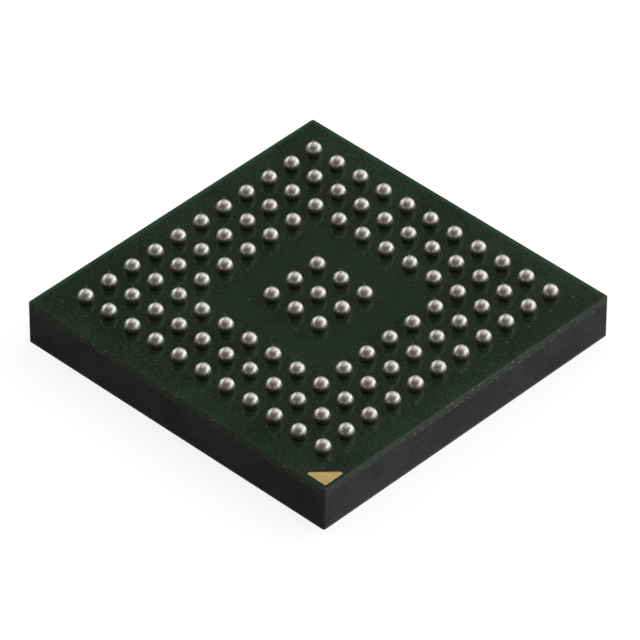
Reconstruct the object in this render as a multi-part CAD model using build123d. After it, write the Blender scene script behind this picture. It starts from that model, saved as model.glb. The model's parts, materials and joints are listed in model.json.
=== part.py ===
from build123d import *
import os
from math import acos, atan2, degrees, hypot, sqrt

# A ball grid array chip, 11 by 11 grid at 0.8 mm, lying on its back with the balls up.
# Origin: middle of the mould cap's flat face. +X runs from row L to row A, +Y from column 1 to column 11.

# Ball grid
pitch = 0.80
balls_across = 11
frame_rows = 3
centre_across = 3
ball_diameter = 0.42
foot_diameter = 0.28
row_letters = "abcdefghjklmnprtuvwy"

# Body and laminate
body_side = 10.00
corner_radius = 0.06
edge_radius = 0.03
mould_thickness = 1.04
mask_cover = 0.015
copper_thickness = 0.02
core_thickness = 0.14

# Copper pattern
pad_diameter = 0.40
neck_width = 0.14
via_diameter = 0.10
trace_width = 0.05
tail_width = 0.06
tail_bare = 0.10
via_to_wall = 0.25
ball_side_plane = 3.68
die_side_plane = 3.20

# Die, bonds and wires
die_side = 3.00
die_thickness = 0.25
film_thickness = 0.025
finger_length = 0.24
finger_width = 0.09
finger_step = 0.17
window_margin = 0.06
wire_diameter = 0.025
wire_loop = 0.12
die_pad_step = 0.13
die_pad_inset = 0.08

# Pin A1 triangle in the corner of row A and column 1
mark_leg = 0.58
mark_to_row_a_wall = 0.11
mark_to_column_1_wall = 0.17
mark_lap = 0.04
mark_to_pad = 0.10

# Where the sawn plating tails come out of each wall, measured along it from its middle.
# The sides are row A, column 11, row L and column 1, each a quarter turn on from the one before.
row_a_ball_tails = (-0.76, -0.56, 0.14, 0.37, 0.45, 1.57, 2.07, 3.22, 3.69)
column_1_ball_tails = (-3.14, -2.74, -2.34, -1.89, -0.36, 0.07, 1.30, 3.70)
row_a_die_tails = (
    -1.87, -1.59, -1.30, -0.95, -0.68, -0.47, -0.40, -0.19, -0.01,
    0.82, 1.02, 1.52, 1.79, 1.86, 2.15, 2.65, 2.94, 4.47,
)
side_turns = (0, 90, 180, 270)
ball_tails = (row_a_ball_tails, row_a_ball_tails, row_a_ball_tails, column_1_ball_tails)
die_tails = (row_a_die_tails, row_a_die_tails, row_a_die_tails, ())

# Heights of the layers, from the flat face up
die_mask_z = mould_thickness
die_copper_z = die_mask_z + mask_cover
core_z = die_copper_z + copper_thickness
core_top_z = core_z + core_thickness
ball_copper_z = core_top_z + copper_thickness
face_z = ball_copper_z + mask_cover
mask_thickness = mask_cover + copper_thickness
die_z = die_mask_z - film_thickness - die_thickness

# Places in the grid that other sizes follow
wall = body_side / 2
wall_end = wall - corner_radius - tail_width
grid_edge = (balls_across - 1) / 2 * pitch
ring_x = [grid_edge - (frame_rows - 1 - ring) * pitch for ring in range(frame_rows)]
via_x = [min(x + pitch / 2, wall - via_to_wall) for x in ring_x]
finger_end = via_x[0] - 0.75 * pitch
finger_middle = finger_end - finger_length / 2
lane = pitch / 4


def body_outline():
    return RectangleRounded(body_side, body_side, corner_radius)


def ribbon(points, width):
    """A strip with mitred bends along a line of points."""
    line = [Vector(*point) for point in points]
    left = []
    right = []
    for before, point, after in zip([None] + line, line, line[1:] + [None]):
        arriving = (point - before).normalized() if before else (after - point).normalized()
        leaving = (after - point).normalized() if after else arriving
        along = (arriving + leaving).normalized()
        across = Vector(-along.Y, along.X) * (width / 2 / along.dot(leaving))
        left.append(point + across)
        right.append(point - across)
    return make_face(Polyline(*left, *reversed(right), close=True))


def outward(y):
    return 1 if y > -0.01 * pitch else -1


def side_balls():
    """Ring and place of the balls that one side's quarter of the frame holds, the corner diagonal last."""
    found = []
    for ring, x in enumerate(ring_x):
        count = round(2 * x / pitch)
        for step in range(count):
            found.append((ring, x, -x + pitch + step * pitch))
    return found


def via_of(ring, y):
    return via_x[ring], y + outward(y) * pitch / 2


def nearest(anchors, y):
    return min(anchors, key=lambda anchor: abs(anchor[1] - y))


def tails_from(anchor, anchors, ends):
    """Tails from this anchor to those of the wall ends that it is nearest to."""
    tails = []
    for end in ends:
        place = max(-wall_end, min(end, wall_end))
        if nearest(anchors, place) == anchor:
            tails.append(ribbon([anchor, (wall - tail_bare, place), (wall, place)], tail_width))
    return tails


def has_via(ring, y):
    """Every ball of the frame has a via but the four in the grid's corners."""
    return ring < frame_rows - 1 or y < grid_edge - pitch / 2


def ball_net(ring, x, y, anchors, ends):
    """A ball's pad, its neck out to the via, and any tails to the wall."""
    net = Pos(x, y) * Circle(pad_diameter / 2)
    via = via_of(ring, y)
    if has_via(ring, y):
        net += ribbon([(x, y), via], neck_width)
    if ring == frame_rows - 1:
        for anchor in ((x, y), via):
            for tail in tails_from(anchor, anchors, ends):
                net += tail
    return net


def ball_side_nets():
    nets = []
    for turn, ends in zip(side_turns, ball_tails):
        outer = [(x, y) for ring, x, y in side_balls() if ring == frame_rows - 1]
        anchors = outer + [via_of(frame_rows - 1, y) for x, y in outer if has_via(frame_rows - 1, y)]
        for ring, x, y in side_balls():
            nets.append(Rot(Z=turn) * ball_net(ring, x, y, anchors, ends))
    nets.append(Rectangle(ball_side_plane, ball_side_plane))
    return nets


def crossing(ring, column, via_y):
    """Where a net of this ring crosses the vias of a nearer column, in the free lane on their inner side."""
    side = outward(via_y)
    inward = abs(via_y) - (ring - column + 0.5) * lane
    return side * min(inward, via_x[column] - 0.75 * lane)


def die_net_path(ring, y):
    """The trace's corners from the first column of vias out to the net's own via."""
    via = via_of(ring, y)
    path = [(via_x[column], crossing(ring, column, via[1])) for column in range(ring)]
    return path + [via]


def die_net_paths():
    """Paths of one side in order along it. The corner diagonal's balls are not connected."""
    paths = []
    for ring, x, y in side_balls():
        if y < x - pitch / 2:
            paths.append(die_net_path(ring, y))
    return sorted(paths, key=lambda path: path[0][1])


def finger_y(index, count):
    return (index - (count - 1) / 2) * finger_step


def die_net(index, path, count, anchors, ends):
    y = finger_y(index, count)
    net = Pos(finger_middle, y) * Rectangle(finger_length, finger_width)
    net += ribbon([(finger_end, y)] + path, trace_width)
    for tail in tails_from(path[-1], anchors, ends):
        net += tail
    return net


def die_side_nets():
    paths = die_net_paths()
    anchors = [path[-1] for path in paths if path[-1][0] == via_x[-1]]
    diagonal = [via_of(ring, x) for ring, x in enumerate(ring_x) if has_via(ring, x)]
    nets = [Rectangle(die_side_plane, die_side_plane)]
    for turn, ends in zip(side_turns, die_tails):
        for index, path in enumerate(paths):
            nets.append(Rot(Z=turn) * die_net(index, path, len(paths), anchors, ends))
        for via in diagonal:
            nets.append(Rot(Z=turn) * Pos(*via) * Circle(via_diameter))
    return nets


def raised(faces, z, height):
    """Flat shapes made solid at a height, each one kept separate."""
    return [Pos(0, 0, z) * extrude(face, height) for face in faces]


def via_places():
    places = []
    for turn in side_turns:
        for ring, x, y in side_balls():
            if has_via(ring, y):
                places.append((Rot(Z=turn) * Pos(*via_of(ring, y))).position)
    span = (centre_across + 1) / 2 - 0.5
    steps = [(step - span) * pitch for step in range(centre_across + 1)]
    places += [Vector(x, y) for x in steps for y in steps]
    return places


def via_barrels():
    barrel = Cylinder(via_diameter / 2, core_thickness, align=(Align.CENTER, Align.CENTER, Align.MIN))
    return [Pos(place.X, place.Y, core_z) * barrel for place in via_places()]


def ball_rows():
    """Rows A on, each a list of balls, the first at the row A wall."""
    radius = ball_diameter / 2
    cut = degrees(acos(foot_diameter / ball_diameter))
    ball = Sphere(radius, arc_size1=-cut, align=(Align.CENTER, Align.CENTER, Align.MIN))
    first = (balls_across - centre_across) // 2
    rows = []
    for row in range(balls_across):
        balls = []
        for column in range(balls_across):
            edge = min(row, column, balls_across - 1 - row, balls_across - 1 - column)
            if edge < frame_rows or edge >= first:
                x = grid_edge - row * pitch
                y = column * pitch - grid_edge
                balls.append(Pos(x, y, ball_copper_z) * ball)
        rows.append(balls)
    return rows


def mark_triangle():
    """The pin A1 triangle. Its leg gives way where the corner ball's pad is near."""
    x = wall - mark_to_row_a_wall
    y = mark_to_column_1_wall - wall
    room = (x - grid_edge) - (y + grid_edge) - (pad_diameter / 2 + mark_to_pad) * sqrt(2)
    leg = min(mark_leg, room)
    return make_face(Polyline((x, y), (x, y + leg), (x - leg, y), close=True))


def mark_metal():
    metal = offset(mark_triangle(), mark_lap, kind=Kind.INTERSECTION)
    return Pos(0, 0, core_top_z) * extrude(metal, copper_thickness)


def ball_side_mask(nets, rows):
    mask = Pos(0, 0, core_top_z) * extrude(body_outline(), mask_thickness)
    mask = fillet(mask.edges().group_by(Axis.Z)[-1], edge_radius)
    opening = Pos(0, 0, core_top_z) * extrude(mark_triangle(), mask_thickness)
    balls = [ball for row in rows for ball in row]
    return mask - nets - balls - [mark_metal(), opening]


def window_length():
    return finger_y(len(die_net_paths()), len(die_net_paths())) * 2


def bond_windows():
    """The four openings in the mask where the fingers lie bare, as flat shapes."""
    window = Pos(finger_middle - window_margin / 2, 0) * Rectangle(finger_length, window_length())
    return [Rot(Z=turn) * window for turn in side_turns]


def die_side_mask(nets):
    mask = Pos(0, 0, die_mask_z) * extrude(body_outline(), mask_thickness)
    return mask - nets - raised(bond_windows(), die_mask_z, mask_thickness)


def core(barrels):
    return Pos(0, 0, core_z) * extrude(body_outline(), core_thickness) - barrels


def bond_wires():
    """One side's wires, each a loop from the die's face to its finger, square in section."""
    count = len(die_net_paths())
    start_x = die_side / 2 - die_pad_inset
    wires = []
    for index in range(count):
        start_y = (index - (count - 1) / 2) * die_pad_step
        end_y = finger_y(index, count)
        run = hypot(finger_middle - start_x, end_y - start_y)
        turn = degrees(atan2(end_y - start_y, finger_middle - start_x))
        crest = die_z - wire_loop
        loop = Polyline(
            (0, die_z),
            (0, crest + wire_diameter),
            (wire_diameter, crest),
            (run * 0.35, crest),
            (run - wire_diameter, die_copper_z - wire_diameter),
            (run + wire_diameter, die_copper_z - wire_diameter),
            (run + wire_diameter, die_copper_z),
            (run - 2 * wire_diameter, die_copper_z),
            (run * 0.35 - wire_diameter / 2, crest + wire_diameter),
            (wire_diameter, crest + wire_diameter),
            (wire_diameter, die_z),
            close=True,
        )
        wire = extrude(Plane.XZ * make_face(loop), wire_diameter / 2, both=True)
        wires.append(Pos(start_x, start_y) * Rot(Z=turn) * wire)
    return wires


def silicon_die():
    return Pos(0, 0, die_z) * extrude(Rectangle(die_side, die_side), die_thickness)


def die_film():
    return Pos(0, 0, die_z + die_thickness) * extrude(Rectangle(die_side, die_side), film_thickness)


def mould_cap(wires, nets):
    """The moulded block, with the windows' filling standing on it, cast round the die and the wires."""
    cap = extrude(body_outline(), mould_thickness)
    fillings = raised(bond_windows(), die_mask_z, mask_thickness)
    cap = cap + fillings
    return cap - nets - [silicon_die(), die_film()] - wires


def save(name, solids):
    shape = Compound(children=list(solids)) if isinstance(solids, list) else solids
    export_step(shape, f"parts/{name}.step")


def main():
    os.makedirs("parts", exist_ok=True)
    ball_copper = raised(ball_side_nets(), core_top_z, copper_thickness)
    die_copper = raised(die_side_nets(), die_copper_z, copper_thickness)
    barrels = via_barrels()
    rows = ball_rows()
    side_wires = bond_wires()
    wires = {turn: [Rot(Z=turn) * wire for wire in side_wires] for turn in side_turns}

    save("mould_cap", mould_cap([wire for group in wires.values() for wire in group], die_copper))
    save("die_side_solder_mask", die_side_mask(die_copper))
    save("die_side_copper", die_copper)
    save("substrate_core", core(barrels))
    save("via_barrels", barrels)
    save("ball_side_copper", ball_copper)
    save("ball_side_solder_mask", ball_side_mask(ball_copper, rows))
    save("pin_a1_mark", mark_metal())
    save("silicon_die", silicon_die())
    save("die_attach_film", die_film())
    for turn, side in zip(side_turns, ("row_a", "column_11", "row_l", "column_1")):
        save(f"bond_wires_{side}_side", wires[turn])
    for letter, row in zip(row_letters, rows):
        save(f"solder_balls_row_{letter}", row)


main()
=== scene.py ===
import json
import math

import bmesh
import bpy
from mathutils import Matrix, Vector


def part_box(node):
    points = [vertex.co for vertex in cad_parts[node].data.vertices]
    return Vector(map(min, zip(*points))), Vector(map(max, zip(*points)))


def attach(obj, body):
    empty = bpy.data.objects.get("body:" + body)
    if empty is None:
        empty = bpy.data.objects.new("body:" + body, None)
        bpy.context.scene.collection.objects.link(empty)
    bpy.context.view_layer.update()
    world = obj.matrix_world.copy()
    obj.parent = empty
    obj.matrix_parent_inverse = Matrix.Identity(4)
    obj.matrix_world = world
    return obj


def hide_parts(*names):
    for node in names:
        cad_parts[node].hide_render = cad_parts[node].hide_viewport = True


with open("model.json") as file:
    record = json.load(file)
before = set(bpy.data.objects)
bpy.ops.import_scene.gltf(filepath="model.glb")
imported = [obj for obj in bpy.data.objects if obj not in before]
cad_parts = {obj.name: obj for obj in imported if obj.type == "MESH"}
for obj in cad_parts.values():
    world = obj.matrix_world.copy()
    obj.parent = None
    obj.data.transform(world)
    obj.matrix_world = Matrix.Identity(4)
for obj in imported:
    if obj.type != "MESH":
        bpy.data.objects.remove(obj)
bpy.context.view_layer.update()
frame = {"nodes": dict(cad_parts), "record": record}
MM = 0.001

# Places from the frame: the mask's face, which the balls stand out of, and the wall of row A
FACE_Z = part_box("ball_side_solder_mask")[1][2]
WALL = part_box("substrate_core")[1][0]

# The ball grid, as in the CAD model
PITCH = 0.80 * MM
BALLS_ACROSS = 11
FRAME_ROWS = 3
CENTRE_ACROSS = 3
BALL_RADIUS = 0.21 * MM
FOOT_RADIUS = 0.14 * MM
ROW_LETTERS = "abcdefghjkl"
GRID_EDGE = (BALLS_ACROSS - 1) / 2 * PITCH

# The balls' facets, and the angles in radians by which each row and column turns them
BALL_SEGMENTS = 48
BALL_RINGS = 22
TURN_BY_ROW = 1.0
TURN_BY_COLUMN = 0.7

# The gold triangle: its square corner, its leg, the cut at its sharp ends, and its rise over the mask
MARK_X = 4.89 * MM
MARK_Y = -4.84 * MM
MARK_LEG = 0.68 * MM
MARK_CLIP = 0.08 * MM
MARK_RISE = 0.002 * MM

# Where the cells with balls end and begin, out from the chip's middle, and how softly
CENTRE_END = CENTRE_ACROSS / 2 * PITCH
FRAME_START = GRID_EDGE - (FRAME_ROWS - 0.5) * PITCH
FRAME_END = GRID_EDGE + PITCH / 2
CELL_FADE = 0.10 * MM

# A line of the balls' grid and one of the vias' grid, by their distance from the chip's middle
BALL_LINE = 0.0
VIA_LINE = PITCH / 2

# Whole pitches, which keep the input of a modulo above zero
ABOVE_ZERO = 20 * PITCH

# Where things fade on the mask: three by the way out from the middle, three by the way from a ball or a via
PLANE_FADE = (1.78 * MM, 1.90 * MM)
RIM_HIGHLIGHT_FADE = (4.82 * MM, 4.93 * MM)
SAWN_FADE = (WALL - 0.006 * MM, WALL - 0.002 * MM)
FLUX_AND_LIGHT_FADE = (0.18 * MM, 0.38 * MM)
VIA_GLINT_FADE = (0.012 * MM, 0.045 * MM)
DIMPLE_FADE = (0.0, 0.055 * MM)

# Heights over which the painted floor reflection at the mould's foot and the painted shade on the balls'
# underside fade
MOULD_FOOT_REFLECTION_FADE = (0.01 * MM, 0.13 * MM)
UNDERSIDE_SHADE_FADE = (FACE_Z + 0.10 * MM, FACE_Z + 0.215 * MM)

# The usual range of a noise
NOISE_LOW = 0.3
NOISE_HIGH = 0.7

# Where a mix node has its two colours and their mix
MIX_FIRST = 6
MIX_SECOND = 7
MIX_RESULT = 2

# Colours of the solder mask and of what lies on it
MASK_DARK = (0.0050, 0.0216, 0.0104)
MASK_LIGHT = (0.0236, 0.0522, 0.0336)
MASK_OVER_PLANE = (0.0134, 0.0388, 0.0184)
# A painted highlight along the edges of the mask's face
MASK_RIM_HIGHLIGHT = (0.026, 0.088, 0.052)
MASK_SAWN = (0.094, 0.148, 0.116)
MASK_SPECK = (0.035, 0.055, 0.040)
# Flux residue round the balls, made lighter as painted light that thins out the shade where they stand
FLUX_AND_PAINTED_LIGHT = (0.050, 0.056, 0.037)
# A painted glint over some of the vias
VIA_GLINT = (0.13, 0.20, 0.18)

# Colours of the mould, the core and the solder
MOULD_DARK = (0.070, 0.073, 0.080)
MOULD_LIGHT = (0.106, 0.108, 0.118)
MOULD_FILLER = (0.155, 0.154, 0.164)
# A painted reflection of the floor, brown, along the mould's foot
MOULD_FOOT_REFLECTION = (0.220, 0.175, 0.160)
CORE_DARK = (0.096, 0.108, 0.100)
CORE_LIGHT = (0.168, 0.183, 0.166)
SOLDER_DARK = (0.66, 0.665, 0.645)
SOLDER_LIGHT = (0.80, 0.805, 0.785)
SOLDER_PIT = (0.34, 0.32, 0.31)
# Painted shade on the balls' underside
SOLDER_UNDERSIDE_SHADE = (0.20, 0.18, 0.15)

# Camera, from the fit to the photograph: angles in degrees, lens and sensor in millimetres
CAMERA_AIM = Vector((0.587, -0.552, 1.25)) * MM
CAMERA_DISTANCE = 167.57 * MM
CAMERA_HEADING = 133.715
CAMERA_ELEVATION = 39.984
CAMERA_ROLL = 0.239
CAMERA_LENS = 388.5
CAMERA_SENSOR = 36.0
CLIP_START = 0.01
CLIP_END = 10

# The light tent: each panel's direction as shares of right, away and up, seen from the camera,
# then its width and height in metres and the radiance that it shows
PANELS = (
    ("right panel", (0.94, -0.04, 0.34), 0.44, 0.28, 1.12),
    ("right front panel", (0.62, -0.75, 0.20), 0.30, 0.13, 0.40),
    ("low back right panel", (0.76, 0.55, 0.16), 0.22, 0.13, 1.20),
    ("back right panel", (0.44, 0.62, 0.68), 0.25, 0.22, 0.86),
    ("back panel", (0.10, 0.90, 0.35), 0.28, 0.16, 0.30),
    ("back left panel", (-0.70, 0.56, 0.46), 0.34, 0.19, 1.15),
    ("left panel", (-0.95, -0.08, 0.22), 0.20, 0.12, 0.28),
    ("top panel", (0.10, 0.26, 0.96), 0.34, 0.28, 0.47),
)
PANEL_DISTANCE = 0.32
PANEL_COLOUR = (1.0, 0.995, 0.985)
WORLD_COLOUR = (1.0, 0.80, 0.69)
WORLD_STRENGTH = 0.13

# The floor: its glow and its pale tone are for the camera's rays, and all others meet its dark tone
FLOOR_RADIUS = 1.5
FLOOR_SEGMENTS = 96
FLOOR_GAP = 0.001 * MM
FLOOR_GLOW = 0.84
FLOOR_PALE = 0.38
FLOOR_DARK = 0.14
FLOOR_GRAIN = 0.01
WHITE = (1, 1, 1, 1)


class Tree:
    """Short names for building a material's nodes."""

    def __init__(self, name):
        self.material = bpy.data.materials.new(name)
        self.material.use_nodes = True
        self.nodes = self.material.node_tree.nodes
        self.links = self.material.node_tree.links
        self.nodes.clear()
        self.shader = self.nodes.new("ShaderNodeBsdfPrincipled")
        output = self.nodes.new("ShaderNodeOutputMaterial")
        self.links.new(self.shader.outputs[0], output.inputs["Surface"])

    def put(self, socket, value):
        """Links what comes from a node, and sets any other value."""
        if isinstance(value, bpy.types.NodeSocket):
            self.links.new(value, socket)
        else:
            socket.default_value = value

    def place(self):
        return self.nodes.new("ShaderNodeTexCoord").outputs["Object"]

    def axes(self):
        """The place's x, y and z."""
        node = self.nodes.new("ShaderNodeSeparateXYZ")
        self.links.new(self.place(), node.inputs[0])
        return node.outputs

    def height(self):
        return self.axes()[2]

    def drawn_level(self, scale):
        """The place with x and y scaled down, which draws a noise out into level lines."""
        mapping = self.nodes.new("ShaderNodeMapping")
        self.links.new(self.place(), mapping.inputs["Vector"])
        mapping.inputs["Scale"].default_value = (scale, scale, 1.0)
        return mapping.outputs["Vector"]

    def noise(self, size, detail, roughness=0.5, vector=None):
        """Noise whose features are about size across, in metres."""
        node = self.nodes.new("ShaderNodeTexNoise")
        self.links.new(vector or self.place(), node.inputs["Vector"])
        node.inputs["Scale"].default_value = 1 / size
        node.inputs["Detail"].default_value = detail
        node.inputs["Roughness"].default_value = roughness
        return node.outputs["Fac"]

    def math(self, operation, *values):
        node = self.nodes.new("ShaderNodeMath")
        node.operation = operation
        for socket, value in zip(node.inputs, values):
            self.put(socket, value)
        return node.outputs[0]

    def plus(self, first, second):
        return self.math("ADD", first, second)

    def times(self, first, second):
        return self.math("MULTIPLY", first, second)

    def band(self, value, low, high, to_low=0.0, to_high=1.0):
        """Goes softly from to_low to to_high as the value goes from low to high."""
        node = self.nodes.new("ShaderNodeMapRange")
        node.interpolation_type = "SMOOTHSTEP"
        self.put(node.inputs["Value"], value)
        ends = {"From Min": low, "From Max": high, "To Min": to_low, "To Max": to_high}
        for name, number in ends.items():
            node.inputs[name].default_value = number
        return node.outputs["Result"]

    def until(self, value, start, end):
        """One up to the start, and softly nothing at the end."""
        return self.band(value, start, end, to_low=1.0, to_high=0.0)

    def spread(self, noise, low=0.0, high=1.0):
        """Goes softly from low to high over the noise's usual range."""
        return self.band(noise, NOISE_LOW, NOISE_HIGH, to_low=low, to_high=high)

    def mix(self, factor, first, second):
        node = self.nodes.new("ShaderNodeMix")
        node.data_type = "RGBA"
        self.put(node.inputs["Factor"], factor)
        for index, colour in ((MIX_FIRST, first), (MIX_SECOND, second)):
            linked = isinstance(colour, bpy.types.NodeSocket)
            self.put(node.inputs[index], colour if linked else (*colour, 1))
        return node.outputs[MIX_RESULT]

    def tint(self, colour, target, where, strength=1.0):
        """Moves the colour towards the target, by a mask and at most by the strength."""
        return self.mix(self.times(where, strength), colour, target)

    def bump(self, height, distance, under=None):
        """A normal that follows the height, on top of another normal if one is given."""
        node = self.nodes.new("ShaderNodeBump")
        node.inputs["Distance"].default_value = distance
        node.inputs["Strength"].default_value = 1.0
        self.links.new(height, node.inputs["Height"])
        if under:
            self.links.new(under, node.inputs["Normal"])
        return node.outputs[0]

    def set(self, **sockets):
        """Sets the shader's sockets, whose names are written with underscores."""
        for name, value in sockets.items():
            self.put(self.shader.inputs[name.replace("_", " ")], value)
        return self.material


def near_line(tree, value, line):
    """Distance along one axis from the nearest of the lines one pitch apart, of which one is given."""
    shifted = tree.plus(value, PITCH / 2 - line + ABOVE_ZERO)
    cell = tree.math("MODULO", shifted, PITCH)
    return tree.math("ABSOLUTE", tree.math("SUBTRACT", cell, PITCH / 2))


def from_grid(tree, x, y, line):
    """Distance from the nearest point of a square grid, of which one line is given."""
    dx = near_line(tree, x, line)
    dy = near_line(tree, y, line)
    return tree.math("SQRT", tree.plus(tree.times(dx, dx), tree.times(dy, dy)))


def mask_ground(tree, x, y, reach):
    """The mottled green: even over the copper plane, with a painted highlight along the face's edges that
    is strongest at the back, pale where it is sawn.
    """
    cloud = tree.band(tree.noise(size=1.6 * MM, detail=3), low=0.35, high=0.65, to_high=0.5)
    mottle = tree.spread(tree.noise(size=0.09 * MM, detail=2, roughness=0.7), low=-0.35, high=0.85)
    colour = tree.mix(tree.plus(cloud, mottle), MASK_DARK, MASK_LIGHT)
    colour = tree.tint(colour, MASK_OVER_PLANE, where=tree.until(reach, *PLANE_FADE), strength=0.6)
    behind = tree.band(tree.math("SUBTRACT", y, x), low=-0.5 * MM, high=0.5 * MM, to_low=0.15)
    # A painted highlight along the face's edges, strongest at the back
    colour = tree.tint(colour, MASK_RIM_HIGHLIGHT, where=tree.times(tree.band(reach, *RIM_HIGHLIGHT_FADE), behind))
    return tree.tint(colour, MASK_SAWN, where=tree.band(reach, *SAWN_FADE))


def cells_with_balls(tree, reach):
    """One in the middle block and in the frame, nothing between them and outside."""
    in_centre = tree.until(reach, CENTRE_END - CELL_FADE, CENTRE_END)
    past_gap = tree.band(reach, FRAME_START, FRAME_START + CELL_FADE)
    inside = tree.until(reach, FRAME_END - CELL_FADE, FRAME_END)
    return tree.times(tree.plus(in_centre, past_gap), inside)


def mask_relief(tree, from_via):
    """An orange peel, a finer one, and a dimple over each via."""
    peel = tree.bump(tree.noise(size=0.22 * MM, detail=3), distance=0.0035 * MM)
    fine = tree.bump(tree.noise(size=0.03 * MM, detail=2), distance=0.0010 * MM, under=peel)
    return tree.bump(tree.band(from_via, *DIMPLE_FADE), distance=0.010 * MM, under=fine)


def solder_mask_material():
    """Dark green gloss with specks, flux residue round the balls lightened as painted light against the
    shade where they stand, and painted glints over some of the vias.
    """
    tree = Tree("solder mask")
    x, y = tree.axes()[:2]
    reach = tree.math("MAXIMUM", tree.math("ABSOLUTE", x), tree.math("ABSOLUTE", y))
    from_via = from_grid(tree, x, y, VIA_LINE)
    near_ball = tree.until(from_grid(tree, x, y, BALL_LINE), *FLUX_AND_LIGHT_FADE)
    colour = mask_ground(tree, x, y, reach)
    speck = tree.band(tree.noise(size=0.035 * MM, detail=1), low=0.66, high=0.74)
    colour = tree.tint(colour, MASK_SPECK, where=speck, strength=0.35)
    # Flux residue round the balls, lightened as painted light against the shade at their feet
    flux_and_light = tree.times(near_ball, cells_with_balls(tree, reach))
    colour = tree.tint(colour, FLUX_AND_PAINTED_LIGHT, where=flux_and_light, strength=0.55)
    # Painted glints over some of the vias
    some = tree.band(tree.noise(size=0.9 * MM, detail=1), low=0.46, high=0.56)
    via_glint = tree.times(tree.until(from_via, *VIA_GLINT_FADE), some)
    colour = tree.tint(colour, VIA_GLINT, where=via_glint, strength=0.6)
    return tree.set(
        Base_Color=colour, Normal=mask_relief(tree, from_via),
        Roughness=tree.spread(tree.noise(size=0.5 * MM, detail=3), low=0.24, high=0.34),
        Specular_IOR_Level=0.11, Coat_Weight=0.50, Coat_Roughness=0.10,
    )


def mould_material():
    """Black epoxy with pale grains of filler and level saw lines, and a painted brown reflection of the
    floor near its flat face.
    """
    tree = Tree("mould compound")
    grain = tree.noise(size=0.030 * MM, detail=3, roughness=0.7)
    cloud = tree.noise(size=0.9 * MM, detail=3)
    both = tree.plus(cloud, tree.noise(size=0.10 * MM, detail=2))
    colour = tree.mix(tree.band(both, low=0.76, high=1.24), MOULD_DARK, MOULD_LIGHT)
    filler = tree.band(grain, low=0.56, high=0.70)
    colour = tree.tint(colour, MOULD_FILLER, where=filler, strength=0.7)
    # A painted reflection of the floor near the mould's flat face
    foot = tree.until(tree.height(), *MOULD_FOOT_REFLECTION_FADE)
    colour = tree.tint(colour, MOULD_FOOT_REFLECTION, where=foot, strength=0.7)
    lines = tree.noise(size=0.02 * MM, detail=2, vector=tree.drawn_level(scale=0.04))
    sawn = tree.bump(lines, distance=0.0012 * MM)
    return tree.set(
        Base_Color=colour, Normal=tree.bump(grain, distance=0.0035 * MM, under=sawn),
        Roughness=tree.spread(cloud, low=0.50, high=0.62), Specular_IOR_Level=0.35,
    )


def core_material():
    """Sawn glass epoxy, whose strands of glass run level."""
    tree = Tree("laminate core")
    weave = tree.noise(size=0.05 * MM, detail=3, roughness=0.6, vector=tree.drawn_level(scale=0.25))
    return tree.set(
        Base_Color=tree.mix(tree.band(weave, low=0.42, high=0.62), CORE_DARK, CORE_LIGHT),
        Roughness=tree.spread(weave, low=0.55, high=0.7),
        Normal=tree.bump(weave, distance=0.003 * MM), Specular_IOR_Level=0.15,
    )


def solder_material():
    """Satin tin with fine pits, darker on the lower part of each ball as painted shade."""
    tree = Tree("solder")
    grain = tree.noise(size=0.05 * MM, detail=3, roughness=0.6)
    colour = tree.mix(tree.band(grain, low=0.35, high=0.65), SOLDER_DARK, SOLDER_LIGHT)
    pit = tree.band(tree.noise(size=0.022 * MM, detail=1), low=0.66, high=0.75)
    colour = tree.tint(colour, SOLDER_PIT, where=pit, strength=0.25)
    # Painted shade, darker towards the balls' feet
    underside = tree.until(tree.height(), *UNDERSIDE_SHADE_FADE)
    return tree.set(
        Base_Color=tree.tint(colour, SOLDER_UNDERSIDE_SHADE, where=underside, strength=0.54),
        Roughness=tree.spread(tree.noise(size=0.11 * MM, detail=2), low=0.31, high=0.40),
        Normal=tree.bump(grain, distance=0.0008 * MM), Metallic=1.0,
    )


def clouded_material(name, dark, light, roughness, size, depth, metallic=0.0):
    """A finely uneven surface whose tone and roughness go up and down with one cloudy noise."""
    tree = Tree(name)
    cloud = tree.noise(size, detail=3)
    return tree.set(
        Base_Color=tree.mix(tree.spread(cloud), dark, light), Roughness=tree.spread(cloud, *roughness),
        Normal=tree.bump(tree.noise(size / 4, detail=2), depth), Metallic=metallic,
    )


def copper_material():
    return clouded_material(
        "copper", dark=(0.84, 0.42, 0.20), light=(0.96, 0.58, 0.32),
        roughness=(0.45, 0.60), size=0.1 * MM, depth=0.001 * MM, metallic=0.35,
    )


def gold_plate_material():
    return clouded_material(
        "gold plate", dark=(0.684, 0.524, 0.201), light=(0.795, 0.632, 0.284),
        roughness=(0.42, 0.55), size=0.2 * MM, depth=0.002 * MM, metallic=1.0,
    )


def gold_wire_material():
    return clouded_material(
        "gold wire", dark=(0.75, 0.50, 0.20), light=(0.90, 0.68, 0.32),
        roughness=(0.18, 0.28), size=0.1 * MM, depth=0.001 * MM, metallic=1.0,
    )


def silicon_material():
    return clouded_material(
        "silicon", dark=(0.05, 0.055, 0.07), light=(0.09, 0.10, 0.13),
        roughness=(0.10, 0.16), size=0.3 * MM, depth=0.0005 * MM,
    )


def adhesive_material():
    return clouded_material(
        "adhesive", dark=(0.20, 0.18, 0.13), light=(0.28, 0.26, 0.20),
        roughness=(0.5, 0.7), size=0.2 * MM, depth=0.002 * MM,
    )


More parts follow.
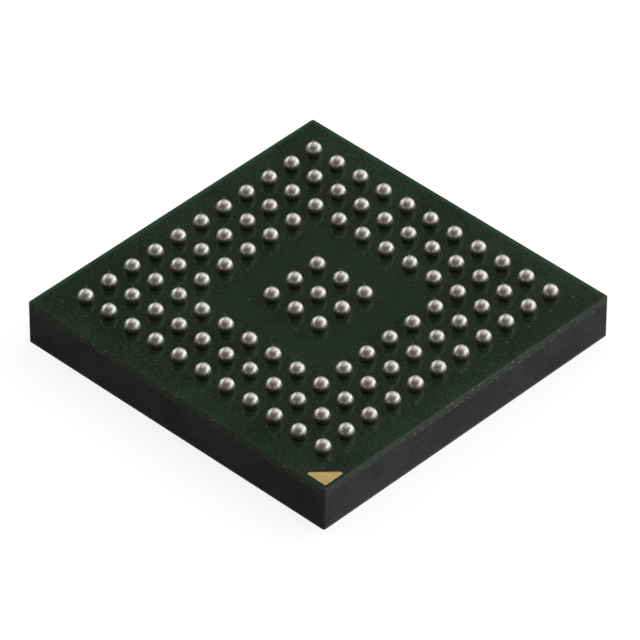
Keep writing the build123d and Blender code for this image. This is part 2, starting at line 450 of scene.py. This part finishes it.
def paper_material():
    """White paper, as the camera sees it. The part of its white that is glow thins out the shadow on it."""
    tree = Tree("floor")
    seen = tree.nodes.new("ShaderNodeLightPath").outputs["Is Camera Ray"]
    grain = tree.noise(size=0.4 * MM, detail=3)
    dark, pale = [
        tree.mix(grain, (tone - FLOOR_GRAIN,) * 3, (tone + FLOOR_GRAIN,) * 3)
        for tone in (FLOOR_DARK, FLOOR_PALE)
    ]
    return tree.set(
        Base_Color=tree.mix(seen, dark, pale), Roughness=0.9, Specular_IOR_Level=0.0,
        Emission_Color=WHITE, Emission_Strength=tree.times(seen, FLOOR_GLOW),
    )


def dress_nodes():
    """Gives every CAD node the material of its slot in the record."""
    finishes = {
        "mould_compound": mould_material(),
        "solder_mask": solder_mask_material(),
        "laminate_core": core_material(),
        "solder": solder_material(),
        "copper": copper_material(),
        "gold_plate": gold_plate_material(),
        "gold_wire": gold_wire_material(),
        "silicon": silicon_material(),
        "adhesive_film": adhesive_material(),
    }
    for entry in frame["record"]["subparts"]:
        material = finishes[entry["material_slot"]]
        mesh = frame["nodes"][entry["node"]].data
        if not mesh.materials:
            mesh.materials.append(material)
        for index in range(len(mesh.materials)):
            mesh.materials[index] = material
    return finishes


def make_object(name, mesh, material):
    """Turns a finished bmesh into an object of the scene."""
    data = bpy.data.meshes.new(name)
    mesh.to_mesh(data)
    mesh.free()
    data.materials.append(material)
    item = bpy.data.objects.new(name, data)
    bpy.context.collection.objects.link(item)
    return item


def ball_profile():
    """Radius and height above the foot, ring by ring up from the foot's rim, and the height of the top."""
    drop = math.acos(FOOT_RADIUS / BALL_RADIUS)
    rise = BALL_RADIUS * math.sin(drop)
    angles = [-drop + (math.pi / 2 + drop) * ring / BALL_RINGS for ring in range(BALL_RINGS)]
    rings = [(BALL_RADIUS * math.cos(angle), rise + BALL_RADIUS * math.sin(angle)) for angle in angles]
    return rings, rise + BALL_RADIUS


def add_ball(mesh, x, y, z, turn):
    """A smooth ball cut flat at its foot, which stands on the height z."""
    profile, top = ball_profile()
    rings = []
    for radius, height in profile:
        ring = []
        for step in range(BALL_SEGMENTS):
            angle = turn + 2 * math.pi * step / BALL_SEGMENTS
            point = (x + radius * math.cos(angle), y + radius * math.sin(angle), z + height)
            ring.append(mesh.verts.new(point))
        rings.append(ring)
    crown = mesh.verts.new((x, y, z + top))
    skin = []
    for step in range(BALL_SEGMENTS):
        after = (step + 1) % BALL_SEGMENTS
        for low, high in zip(rings, rings[1:]):
            skin.append(mesh.faces.new((low[step], low[after], high[after], high[step])))
        skin.append(mesh.faces.new((rings[-1][step], rings[-1][after], crown)))
    for face in skin:
        face.smooth = True
    mesh.faces.new(reversed(rings[0]))


def ball_rows(material):
    """The balls, one piece for each row, in the place of the CAD model's coarser ones."""
    first_centre = (BALLS_ACROSS - CENTRE_ACROSS) // 2
    for row, letter in enumerate(ROW_LETTERS):
        node = f"solder_balls_row_{letter}"
        foot_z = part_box(node)[0][2]
        x = GRID_EDGE - row * PITCH
        mesh = bmesh.new()
        for column in range(BALLS_ACROSS):
            edge = min(row, column, BALLS_ACROSS - 1 - row, BALLS_ACROSS - 1 - column)
            if edge < FRAME_ROWS or edge >= first_centre:
                turn = row * TURN_BY_ROW + column * TURN_BY_COLUMN
                add_ball(mesh, x, column * PITCH - GRID_EDGE, foot_z, turn)
        piece = make_object(f"balls_row_{letter}", mesh, material)
        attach(piece, "root")
        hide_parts(node)


def mark_plate(material):
    """The gold triangle by row A and column 1, over its opening, blunt at its two sharp corners."""
    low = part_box("pin_a1_mark")[0][2]
    high = FACE_Z + MARK_RISE
    long = MARK_LEG - MARK_CLIP
    outline = [(MARK_X, MARK_Y), (MARK_X, MARK_Y + long), (MARK_X - MARK_CLIP, MARK_Y + long)]
    outline += [(MARK_X - long, MARK_Y + MARK_CLIP), (MARK_X - long, MARK_Y)]
    mesh = bmesh.new()
    lower = [mesh.verts.new((x, y, low)) for x, y in outline]
    upper = [mesh.verts.new((x, y, high)) for x, y in outline]
    mesh.faces.new(upper)
    mesh.faces.new(reversed(lower))
    for step in range(len(outline)):
        after = (step + 1) % len(outline)
        mesh.faces.new((lower[step], lower[after], upper[after], upper[step]))
    piece = make_object("pin_a1_plate", mesh, material)
    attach(piece, "root")
    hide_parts("pin_a1_mark")


def add_camera():
    """Makes the camera. Returns its way right, before its roll, and its way forward."""
    heading = math.radians(CAMERA_HEADING)
    elevation = math.radians(CAMERA_ELEVATION)
    level = math.cos(elevation)
    forward = Vector((level * math.cos(heading), level * math.sin(heading), -math.sin(elevation)))
    level_right = forward.cross(Vector((0, 0, 1))).normalized()
    right = (Matrix.Rotation(math.radians(-CAMERA_ROLL), 3, forward) @ level_right).normalized()
    up = right.cross(forward)
    turned = Matrix((right, up, -forward)).transposed()
    camera = bpy.data.objects.new("camera", bpy.data.cameras.new("camera"))
    camera.matrix_world = Matrix.Translation(CAMERA_AIM - forward * CAMERA_DISTANCE) @ turned.to_4x4()
    camera.data.lens = CAMERA_LENS
    camera.data.sensor_width = CAMERA_SENSOR
    camera.data.clip_start = CLIP_START
    camera.data.clip_end = CLIP_END
    bpy.context.collection.objects.link(camera)
    bpy.context.scene.camera = camera
    return level_right, forward


def add_panel(name, direction, width, height, radiance):
    """An area lamp facing the chip, its power set from the radiance that it should show."""
    lamp = bpy.data.lights.new(name, "AREA")
    lamp.shape = "RECTANGLE"
    lamp.size = width
    lamp.size_y = height
    lamp.energy = radiance * math.pi * width * height
    lamp.color = PANEL_COLOUR
    item = bpy.data.objects.new(name, lamp)
    item.location = direction.normalized() * PANEL_DISTANCE
    item.rotation_euler = direction.to_track_quat("Z", "Y").to_euler()
    bpy.context.collection.objects.link(item)


def add_lights(right, forward):
    """A light tent round the chip, bright at the right and at both back corners."""
    away = Vector((forward.x, forward.y, 0)).normalized()
    up = Vector((0, 0, 1))
    for name, shares, width, height, radiance in PANELS:
        direction = right * shares[0] + away * shares[1] + up * shares[2]
        add_panel(name, direction, width, height, radiance)
    world = bpy.data.worlds.new("studio")
    world.use_nodes = True
    bpy.context.scene.world = world
    background = world.node_tree.nodes["Background"]
    background.inputs["Color"].default_value = (*WORLD_COLOUR, 1)
    background.inputs["Strength"].default_value = WORLD_STRENGTH


def add_floor():
    """A wide sheet of paper just under the chip."""
    mesh = bmesh.new()
    bmesh.ops.create_circle(mesh, cap_ends=True, radius=FLOOR_RADIUS, segments=FLOOR_SEGMENTS)
    floor = make_object("floor", mesh, paper_material())
    floor.location.z = -FLOOR_GAP


level_right, forward = add_camera()
add_lights(level_right, forward)
add_floor()
finishes = dress_nodes()
ball_rows(finishes["solder"])
mark_plate(finishes["gold_plate"])

scene = bpy.context.scene
scene.view_settings.view_transform = "Standard"
